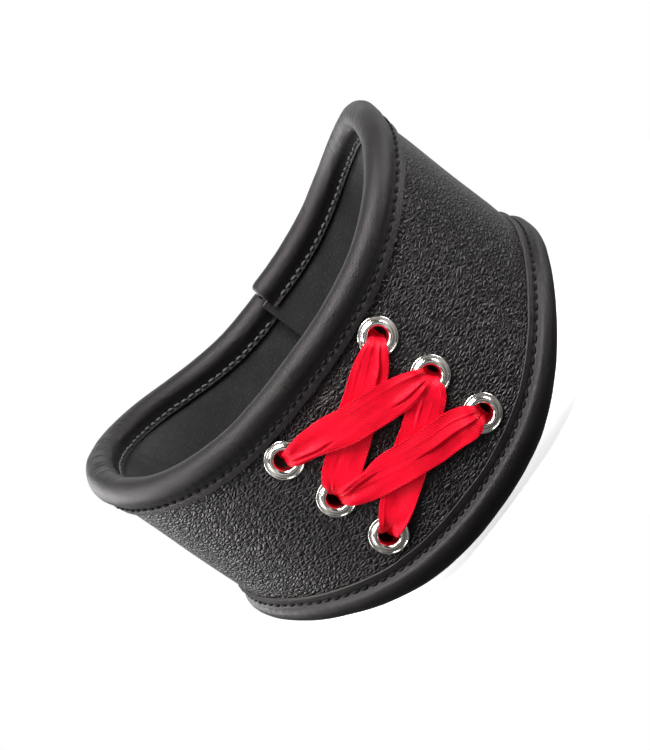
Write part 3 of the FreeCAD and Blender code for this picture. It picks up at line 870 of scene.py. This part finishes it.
# ribbon width between its gathered (0) and open (1) states, over the distance from a hole
SLOW_OPENING = ([-1.0, 0.2, 2.6, 5.5, 8.0, 12.0, 16.0], [0.0, 0.06, 0.42, 0.72, 0.87, 0.97, 1.0])
QUICK_OPENING = ([-1.0, 0.2, 1.6, 3.2, 5.0, 7.5, 10.0], [0.0, 0.16, 0.52, 0.80, 0.93, 0.99, 1.0])

# One end of a run: its hole (side, row) and shift (x, z) from it; pleat (place across, height,
# length along); gathered width; folds across; notch, how much sooner the middle drops in;
# lift over the ring; hem, how much of an edge is turned up (its sign says which); quick opening
End = namedtuple("End", "hole shift pleat width folds notch lift hem quick",
                 defaults=(4.6, 1.5, 0.0, 0.0, 0.0, False))


def over_front(x, z, offset):
    """point over the wall's outer face with a given x and z, mm in, metres out"""
    degrees = np.linspace(-75, 75, 3001)
    return on_wall(np.interp(x, plan(degrees)[0], degrees), z, offset)


def average_rows(grid):
    """mean over seven rows, with the end rows repeated"""
    padded = np.pad(grid, ((3, 3), (0, 0)), mode="edge")
    return sum(padded[k:k + len(grid)] for k in range(7)) / 7


def ribbon_folds(run, width, opened, rng, seed):
    """height of the folds, pleats and creases over the ribbon's mean surface"""
    U, along = run.across, run.along
    first, second = run.ends
    surplus = np.clip(RIBBON_WIDTH / width - 1, 0, 4)
    height = np.sqrt(4 * surplus) * width / (TURN * run.pick("folds")) * 0.30
    mix = smooth((run.share - 0.25) / 0.5)[:, None]
    phase0 = 3.1 + 0.9 * (rng.random() - 0.5)
    phase1 = 3.1 + 0.9 * (rng.random() - 0.5)
    H = height[:, None] * ((1 - mix) * np.cos(TURN * first.folds * U + phase0)
                           + mix * np.cos(TURN * second.folds * U + phase1))
    # a pleat at each end: part of the width steps over the rest, and the step dies away
    for end, away in zip(run.ends, run.away):
        place, step, reach = end.pleat
        hold = smooth((away + 0.5) / 3.0) * (1 - smooth((away - 0.55 * reach) / (0.45 * reach)))
        x = U - place * (0.55 + 0.45 * smooth(away / 9.0))[:, None]
        H = H + step * hold[:, None] * (
            smooth((x + 0.022) / 0.044) * np.exp(-np.clip(x, 0, 1) / 0.22)
            - 0.35 * np.exp(-((x + 0.03) / 0.035) ** 2))
    # creases fanning out of each hole and dying away along the run
    for away in run.away:
        for _ in range(3):
            place = (rng.random() - 0.5) * 0.86
            thin = 0.022 + 0.03 * rng.random()
            tall = (0.20 * rng.random() + 0.08) * (1 if rng.random() > 0.45 else -1)
            fall = np.exp(-np.clip(away, 0, None) / (5.0 + 9 * rng.random()))
            fall = fall * smooth((away + 1) / 5)
            drift = (rng.random() - 0.5) * 0.02
            line = place + drift * away[:, None]
            H = H + tall * fall[:, None] * np.exp(-((U - line) / thin) ** 2)
    # a slow bow across the width, a broad ripple, and edges that curl up
    bow = 0.22 * np.cos(math.pi * U) * (0.4 + 0.6 * wave(along, seed + 3, 31)[:, None])
    ripple = 0.13 * wave2(U * 30, along[:, None], seed + 2, 26, 20)
    curl = 0.25 * opened * (0.5 + 0.5 * wave(along, seed + 4, 19))
    return H + opened[:, None] * (bow + ripple) + curl[:, None] * (2 * np.abs(U)) ** 5


def turn_hems(run, X, H, width):
    """near a hole, turn one edge up and lay it back over the ribbon"""
    for end, away in zip(run.ends, run.away):
        if end.hem:
            sign = 1.0 if end.hem > 0 else -1.0
            hold = np.exp(-((away - 7.5) / 5.0) ** 2)[:, None] * (away[:, None] > 1)
            edge = np.clip((sign * run.across - 0.22) / 0.28, 0, 1)
            X = X - sign * hold * abs(end.hem) * edge ** 1.4 * width[:, None] * 0.5
            H = H + hold * abs(end.hem) * 0.75 * np.sin(math.pi * edge * 0.62)
    return X, H


def outside_offset(run, H, rise, level):
    """offset of a run over the outer face: out of one hole, over its ring, and back down"""
    near = run.nearest[:, None]
    lift = run.pick("lift")[:, None]
    lip = 1.74 + lift
    dive = -3.9 + (3.9 + lip) * rise
    over_ring = lip + (1.22 + lift - lip) * smooth((near - 3.4) / 2.6)
    beyond = over_ring + (level(run.share)[:, None] - over_ring) * smooth((near - 5.6) / 5.0)
    offset = average_rows(np.where(run.drop < 2.3, dive, beyond)) + H
    ring_top = np.where(near < 5.9, 1.68, 0.26 + 1.42 * np.exp(-((near - 5.9) / 1.1) ** 2))
    return average_rows(np.where(near > 2.4, np.maximum(offset, ring_top), offset))


def inside_offset(run, H, rise, depth):
    """offset of a run behind the lining; depth is how far it stands off"""
    near, base = run.nearest[:, None], FACE_IN - 2.15
    offset = (base - 0.25 * H - depth * smooth((near - 2.0) / 6)
              - 0.9 * np.sin(math.pi * run.share)[:, None])
    offset = np.where(near < 2.3, base + (1 - rise) * 3.0 - H * 0.4, offset)
    return np.maximum(offset, FACE_IN - 5.5)


def keep_in_barrel(points, eyelet, away):
    """pull points in a hole clear of the barrel's wall, which widens near its mouth"""
    there = np.array(eyelet.frame.inverted())
    back_again = np.array(eyelet.frame)
    local = points @ there[:3, :3].T + there[:3, 3]
    radius, z = np.hypot(local[..., 0], local[..., 1]), local[..., 2]
    limit = 2.42e-3 + np.clip(z - 0.2e-3, 0, 1e-3) * 0.9
    outside = (z < 1.2e-3) & (z > -6.3e-3) & (away[:, None] < 2.9) & (radius > limit)
    local[..., :2] *= np.where(outside, limit / np.maximum(radius, 1e-9), 1.0)[..., None]
    moved = local @ back_again[:3, :3].T + back_again[:3, 3]
    return np.where(outside[..., None], moved, points)


def ribbon_run(name, ends, seed, middle_width=9.9, level=None, inner_depth=None):
    """one run from hole to hole, gathered at both. An outside run has level(share), its offset
    along the way; an inside run has inner_depth."""
    rng = np.random.default_rng(seed)
    holes = [EYELETS[end.hole] for end in ends]
    start, stop = (np.array([hole.frame.translation.x * 1000 + end.shift[0],
                             hole.z + end.shift[1]]) for hole, end in zip(holes, ends))
    span = float(np.linalg.norm(stop - start))
    ahead = (stop - start) / span
    beside = np.array([-ahead[1], ahead[0]])
    if beside[1] < 0:
        beside = -beside
    along = np.linspace(0, 1, RIBBON_ROWS) * (span + 2 * HOLE_REACH) - HOLE_REACH
    away = (along, span - along)            # from each hole's axis
    is_first = away[0] < away[1]
    near = np.minimum(*away)
    U = np.linspace(-0.5, 0.5, RIBBON_COLUMNS)[None]

    def pick(field):
        """a value of whichever end is nearer"""
        return np.where(is_first, getattr(ends[0], field), getattr(ends[1], field))

    # the middle of a notched end drops into the hole before its edges do
    notch = pick("notch")[:, None]
    drop = (near[:, None] - notch * np.exp(-(U / 0.15) ** 2)
            + 0.5 * notch * smooth((np.abs(U) - 0.2) / 0.2))
    run = SimpleNamespace(ends=ends, along=along, away=away, nearest=near, across=U, drop=drop,
                          share=np.clip(along / span, 0, 1), pick=pick)
    opened = np.where(pick("quick"), np.interp(near, *QUICK_OPENING),
                      np.interp(near, *SLOW_OPENING))
    opened = np.convolve(np.pad(opened, 4, mode="edge"), np.ones(9) / 9, mode="valid")
    gathered = pick("width")
    width = gathered + (middle_width - gathered) * opened
    H = ribbon_folds(run, width, opened, rng, seed)
    X, H = turn_hems(run, U * width[:, None], H, width)
    X = X + 0.30 * wave(along, seed + 6, 26)[:, None] * opened[:, None]
    rise = smooth((drop + HOLE_REACH) / (HOLE_REACH + 2.3))
    if level:
        offset = outside_offset(run, H, rise, level)
    else:
        offset = inside_offset(run, H, rise, inner_depth)
    # past a hole's axis the ribbon turns down, so it moves on less
    axis = np.where(away[0] < 0, 0.3 * away[0],
                    np.where(away[1] < 0, span - 0.3 * away[1], along))
    centre = start[None] + ahead[None] * axis[:, None]
    points = over_front(centre[:, :1] + beside[0] * X, centre[:, 1:] + beside[1] * X, offset)
    for hole, distance in zip(holes, away):
        points = keep_in_barrel(points, hole, distance)
    faces, _ = skin(points, closed_section=False)
    uv = np.zeros(points.shape[:2] + (2,))
    uv[..., 0] = U + 0.5
    uv[..., 1] = along[:, None] / 10
    ob = add_mesh(name, points, faces, [SATIN], None, uv)
    solid = ob.modifiers.new("thickness", "SOLIDIFY")
    solid.thickness = 0.00024
    solid.offset = 0.0
    rounding = ob.modifiers.new("round", "SUBSURF")
    rounding.levels = rounding.render_levels = 1
    fit_front(ob, "lacing_ribbon")


def under(share):
    return 0.60 + 0.20 * np.sin(math.pi * share)


def over(share):
    return 0.90 + 1.55 * np.exp(-((share - 0.5) / 0.22) ** 2)


ribbon_run("ribbon_right_top_to_left_middle", (
    End((RIGHT, UPPER), (-0.2, -0.3), pleat=(-0.24, 0.9, 17.0), width=3.9),
    End((LEFT, MIDDLE), (0.3, 0.7), pleat=(0.30, -0.4, 7.0), quick=True)),
    seed=21, middle_width=10.4, level=under)
ribbon_run("ribbon_left_top_to_right_middle", (
    End((LEFT, UPPER), (0.2, -0.2), pleat=(-0.18, 0.9, 15.0), width=3.6, hem=-0.3),
    End((RIGHT, MIDDLE), (-0.4, 0.6), pleat=(-0.20, 0.8, 13.0), width=4.0, lift=0.42)),
    seed=22, middle_width=10.1, level=over)
ribbon_run("ribbon_right_middle_to_left_bottom", (
    End((RIGHT, MIDDLE), (0.1, -0.8), pleat=(0.18, -0.8, 15.0), width=3.9, quick=True),
    End((LEFT, LOWER), (0.2, 0.2), pleat=(-0.08, 0.4, 8.0), width=4.7, folds=1.0, notch=1.6)),
    seed=23, level=under)
ribbon_run("ribbon_left_middle_to_right_bottom", (
    End((LEFT, MIDDLE), (0.4, -0.7), pleat=(0.14, 0.8, 13.0), width=3.9, lift=0.35, hem=0.3),
    End((RIGHT, LOWER), (-0.2, 0.2), pleat=(-0.08, 1.0, 22.0), width=4.4, quick=True)),
    seed=24, middle_width=10.4, level=over)

# (name, row, shift in z, stand-off, seed, gathered width, middle width)
INSIDE_RUNS = [("top", UPPER, 0, 0.5, 31, 4.6, 9.9),
               ("middle_upper", MIDDLE, 1.1, 0.3, 32, 3.4, 9.0),
               ("middle_lower", MIDDLE, -1.1, 1.6, 33, 3.4, 9.0),
               ("bottom", LOWER, 0, 0.5, 34, 4.6, 9.9)]
for word, row, shift, depth, seed, gathered, middle in INSIDE_RUNS:
    ribbon_run("ribbon_inside_" + word, (
        End((RIGHT, row), (0, shift), pleat=(0.12, 0.5, 13.0), width=gathered),
        End((LEFT, row), (0, shift), pleat=(-0.10, 0.5, 13.0), width=gathered)),
        seed=seed, middle_width=middle, inner_depth=depth)


# ------------------------------------------------------------------ lacing guard
def lacing_guard(half=34.5, flat=27.0, standoff=5.9, thick=0.7):
    """a soft bridge behind the ribbon, flat to +-flat and coming back to the lining at +-half"""
    length = np.linspace(-half, half, 130)
    deg = angle_at(length)
    rise = standoff * smooth((half - np.abs(length)) / (half - flat))
    S, Z, hem = wall_rows(length, bottom_z(deg) + 10.5, top_z(deg) - 10.3, 60)
    ripple = (0.22 * wave2(S, Z, 77, 30, 22) * smooth(hem / 3)
              - 0.16 * np.exp(-((hem - 1.8) / 0.5) ** 2))
    face = FACE_IN - 0.12
    offset = np.minimum(face - rise[:, None] + ripple * 0.5, face)
    ob = sheet("lacing_guard_leather", on_wall(deg[:, None], Z, offset),
               on_wall(deg[:, None], Z, offset - thick), [LINING_HIDE, CUT_EDGE], 1)
    sharpen(ob, 50)
    fit_front(ob, "lacing_guard")


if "lacing_guard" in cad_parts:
    lacing_guard()

# ------------------------------------------------------------------ closure at the back
TAPE, TAPE_GAP = 0.9, 0.12
TAB_TALL, TAB_TAPER, TAB_LONG, TAB_THICK, TAB_RISE = 27.0, 3, 31.0, 1.5, 7.0
TAB_START = 180.0 - math.degrees(TAB_LONG / (PLAN_HALF_Y + 3.5))
TAB_END = 179.8
TAB_Z = float((top_z(180.0) + bottom_z(180.0)) / 2)
# offsets of the inner and outer faces
LOOP_PLY = (TAPE_GAP, TAPE_GAP + TAPE)
HOOK_PLY = (LOOP_PLY[1] + TAPE_GAP, LOOP_PLY[1] + TAPE_GAP + TAPE)
TAB_PLY = (HOOK_PLY[1] + 0.1, HOOK_PLY[1] + 0.1 + TAB_THICK)


def patch(name, start, end, ply, tall, free_tall, corner, mats,
          crown=0.0, groove=0.0, columns=60, rise=0.0):
    """a sheet over the right end's outer face, with rounded corners at its free end, start.
    tall is its height at end; rise lifts its top edge there."""
    rows = 34
    deg = np.linspace(start, end, columns)
    x = length_at(deg) - length_at(start)
    share = x / x[-1]
    arc = corner ** 2 - (corner - np.clip(x, 0, corner)) ** 2
    cut = np.where(x < corner, corner - np.sqrt(np.clip(arc, 0, None)), 0)
    half = (free_tall + (tall - free_tall) * share) / 2 - cut
    v = np.linspace(-1, 1, rows)[None]
    Z = TAB_Z + half[:, None] * v + (rise * share)[:, None] * (0.5 + 0.5 * v)
    hem = np.minimum(half[:, None] * (1 - np.abs(v)), np.minimum(x, x[-1] - x + 9)[:, None])
    puff = crown * (1 - np.exp(-hem / 1.2))
    seam = groove * np.exp(-((hem - 2.2) / 0.5) ** 2)
    ob = sheet(name, on_wall(deg[:, None], Z, ply[1] - crown + puff - seam),
               on_wall(deg[:, None], Z, ply[0]), mats, len(mats) - 1)
    sharpen(ob, 50)
    return ob


def follow_tab(ob):
    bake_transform(ob)


def make_tape(name, end, ply, mat):
    return patch(name, TAB_START + 3.0, end, ply, tall=TAB_TALL - 5, free_tall=TAB_TALL - 7,
                 corner=2.0, mats=[mat])


loop_tape = make_tape("loop_tape_pile", 176.0, LOOP_PLY, LOOP_PILE)
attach(loop_tape, "right_wing")
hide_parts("loop_tape")
hook_tape = make_tape("hook_tape_pile", 175.0, HOOK_PLY, HOOK_PILE)
follow_tab(hook_tape)
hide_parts("hook_tape")
tab = patch("closure_tab_leather", TAB_START, TAB_END, TAB_PLY, tall=TAB_TALL,
            free_tall=TAB_TALL - TAB_TAPER, corner=7.0, mats=[PEBBLED, CUT_EDGE],
            crown=0.35, groove=0.16, columns=90, rise=TAB_RISE)
follow_tab(tab)
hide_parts("closure_tab")


def tab_stitches(inset=2.2, corner=5.0):
    """stitches along the tab's top edge, round its free end and back along the bottom"""
    start, end = float(length_at(TAB_START)), float(length_at(TAB_END))
    half = (TAB_TALL - TAB_TAPER) / 2 - inset
    path = [(s, half + (TAB_RISE + TAB_TAPER / 2) * (s - start) / (end - start))
            for s in np.linspace(end - 1.0, start + inset + corner, 60)]
    path += [(start + inset + corner - corner * math.sin(a), half - corner + corner * math.cos(a))
             for a in np.linspace(0, math.pi / 2, 16)[1:]]
    path += [(s, -z + TAB_RISE * (s - start) / (end - start)) for s, z in path[::-1]]
    path = np.array(path)
    run = np.concatenate([[0], np.cumsum(np.linalg.norm(np.diff(path, axis=0), axis=1))])
    along, radius, sink = stitch_profile(length=2.0, radius=0.3)
    tubes = []
    for k in range(int(run[-1] / STITCH_PITCH)):
        at = STITCH_PITCH * (k + 0.5) + along
        deg = angle_at(np.interp(at, run, path[:, 0]))
        z = TAB_Z + np.interp(at, run, path[:, 1])
        tubes.append(stitch_tube(on_wall(deg, z, TAB_PLY[1] - 0.02 + sink),
                                 on_wall(deg, z, TAB_PLY[1] + 0.5 + sink), radius))
    ob = outward(join_tubes("closure_tab_stitches", tubes, BLACK_THREAD))
    follow_tab(ob)


tab_stitches()
bpy.data.objects.remove(drill)

# ------------------------------------------------------------------ camera
# in front, a little to the right and above, rolled so +X runs up and right, +Z up and left
AZIMUTH, ELEVATION, ROLL = math.radians(7.076), math.radians(7.98), math.radians(-53.88)
CAMERA_DISTANCE = 0.67137
to_camera = Vector((math.sin(AZIMUTH) * math.cos(ELEVATION),
                    -math.cos(AZIMUTH) * math.cos(ELEVATION), math.sin(ELEVATION)))
level_right = (-to_camera).cross(Vector((0, 0, 1))).normalized()
level_up = level_right.cross(-to_camera)
view_right = level_right * math.cos(ROLL) + level_up * math.sin(ROLL)
view_up = -level_right * math.sin(ROLL) + level_up * math.cos(ROLL)


def make_camera():
    data = bpy.data.cameras.new("camera")
    cam = bpy.data.objects.new("camera", data)
    bpy.context.scene.collection.objects.link(cam)
    place = Matrix((view_right, view_up, to_camera)).transposed().to_4x4()
    place.translation = to_camera * CAMERA_DISTANCE
    cam.matrix_world = place
    data.sensor_width = 36.0
    data.sensor_fit = "AUTO"
    data.lens = 115.872
    data.shift_x, data.shift_y = -0.02950533, 0.009290667
    data.clip_start, data.clip_end = 0.02, 20
    bpy.context.scene.camera = cam


make_camera()


# ------------------------------------------------------------------ floor, world and lights
def floor_material():
    """white paper that takes shadows near the collar and fades to plain white for the camera;
    other rays see a dimmer glow, and from below it is clear"""
    mat, nodes = new_material("floor_white")
    nodes.surface(Base_Color=(0.9, 0.9, 0.9, 1), Roughness=0.9, Specular_IOR_Level=0.1)
    geometry = nodes.add("NewGeometry").outputs
    distance = nodes.add("VectorMath", geometry["Position"],
                         props=dict(operation="LENGTH")).outputs["Value"]
    fade = nodes.fade(distance, start=0.06, end=0.17)
    white = nodes.add("Emission", Strength=1.0).outputs[0]
    camera_ray = nodes.add("LightPath").outputs["Is Camera Ray"]
    glow = nodes.fade(distance, start=0.06, end=0.34, low=0.10, high=0.60)
    dim = nodes.add("Emission", Strength=glow).outputs[0]
    lift = nodes.add("Emission", Strength=0.62).outputs[0]
    near = nodes.add("AddShader", nodes.bsdf.outputs[0], lift).outputs[0]
    seen = nodes.add("MixShader", fade, near, white).outputs[0]
    above = nodes.add("MixShader", camera_ray, dim, seen).outputs[0]
    clear = nodes.add("BsdfTransparent").outputs[0]
    both = nodes.add("MixShader", geometry["Backfacing"], above, clear).outputs[0]
    nodes.feed(nodes.tree.nodes["Material Output"], Surface=both)
    return mat


def make_floor(half=6.0):
    z = cad_lo.z - 0.0012
    corners = [(-half, -half, z), (half, -half, z), (half, half, z), (-half, half, z)]
    add_mesh("floor", corners, [(0, 1, 2, 3)], [floor_material()])


def make_world():
    """plain white to the camera; to other rays, bright paper behind the collar and to both
    sides, and a dark room behind the camera and overhead"""
    world = bpy.data.worlds.new("studio")
    bpy.context.scene.world = world
    world.use_nodes = True
    nodes = Shader(world.node_tree)
    white = nodes.tree.nodes["Background"]
    nodes.feed(white, Color=(1, 1, 1, 1), Strength=1.0)
    camera_ray = nodes.add("LightPath").outputs["Is Camera Ray"]
    room = nodes.add("Background", Color=(1, 1, 1, 1))
    direction = nodes.add("TexCoord").outputs["Generated"]
    facing = nodes.add("VectorMath", direction, tuple(-to_camera),
                       props=dict(operation="DOT_PRODUCT")).outputs["Value"]
    ahead = nodes.fade(facing, start=-0.35, end=0.80, low=0.05, high=0.95)
    parts = nodes.add("SeparateXYZ", direction).outputs
    overhead = nodes.fade(parts["Z"], start=0.10, end=0.80, low=1.0, high=0.25)
    sides = nodes.fade(nodes.math("ABSOLUTE", parts["X"]),
                       start=0.15, end=0.75, low=0.35, high=1.25)
    nodes.feed(room, Strength=nodes.times(nodes.times(ahead, overhead), sides))
    mixed = nodes.add("MixShader", camera_ray, room.outputs[0], white.outputs[0])
    nodes.feed(nodes.tree.nodes["World Output"], Surface=mixed.outputs[0])


def softbox(name, place, size, power):
    """a rectangular light aimed at the origin"""
    light = bpy.data.lights.new(name, "AREA")
    light.shape = "RECTANGLE"
    light.size, light.size_y = size
    light.energy = power
    ob = bpy.data.objects.new(name, light)
    bpy.context.scene.collection.objects.link(ob)
    turn = (-place).normalized().to_track_quat("-Z", "Y").to_matrix().to_4x4()
    ob.matrix_world = Matrix.Translation(place) @ turn


# (name, place in m, size in m, power in W)
SOFTBOXES = [
    ("key_upper_left", to_camera * 0.62 + view_up * 0.72 - view_right * 0.45, (0.45, 0.35), 14.5),
    ("side_plus_x", to_camera * 0.12 + view_right * 0.59 + view_up * 0.85, (0.30, 0.60), 9.0),
    ("side_minus_x", to_camera * 0.05 - view_right * 0.62 - view_up * 0.78, (0.35, 0.60), 4.5),
    ("window_left", to_camera * 0.35 - view_right * 0.95 + view_up * 0.12, (0.45, 0.45), 3.0),
    ("back_left", Vector((-0.62, 0.72, 0.42)), (0.40, 0.40), 2.5),
    ("top_light", Vector((-0.1, -0.25, 0.95)), (0.45, 0.45), 4.5),
    ("front_fill", to_camera * 0.80 - view_right * 0.48 + view_up * 0.34, (0.35, 0.35), 1.4),
    ("rim_right", view_right * 0.86 + view_up * 0.36 - to_camera * 0.34, (0.30, 0.60), 12.0),
    ("rim_left", -view_right * 0.86 - view_up * 0.36 - to_camera * 0.34, (0.30, 0.60), 7.0),
    ("inner_light", Vector((-0.62, -0.50, 0.62)), (0.25, 0.25), 3.2),
    ("rear_light", Vector((0.1, 0.9, 0.45)), (0.7, 0.5), 1.0),
]

make_floor()
make_world()
for name, place, size, power in SOFTBOXES:
    softbox(name, place, size, power)

bpy.context.scene.view_settings.view_transform = "Standard"
bpy.context.scene.view_settings.look = "None"
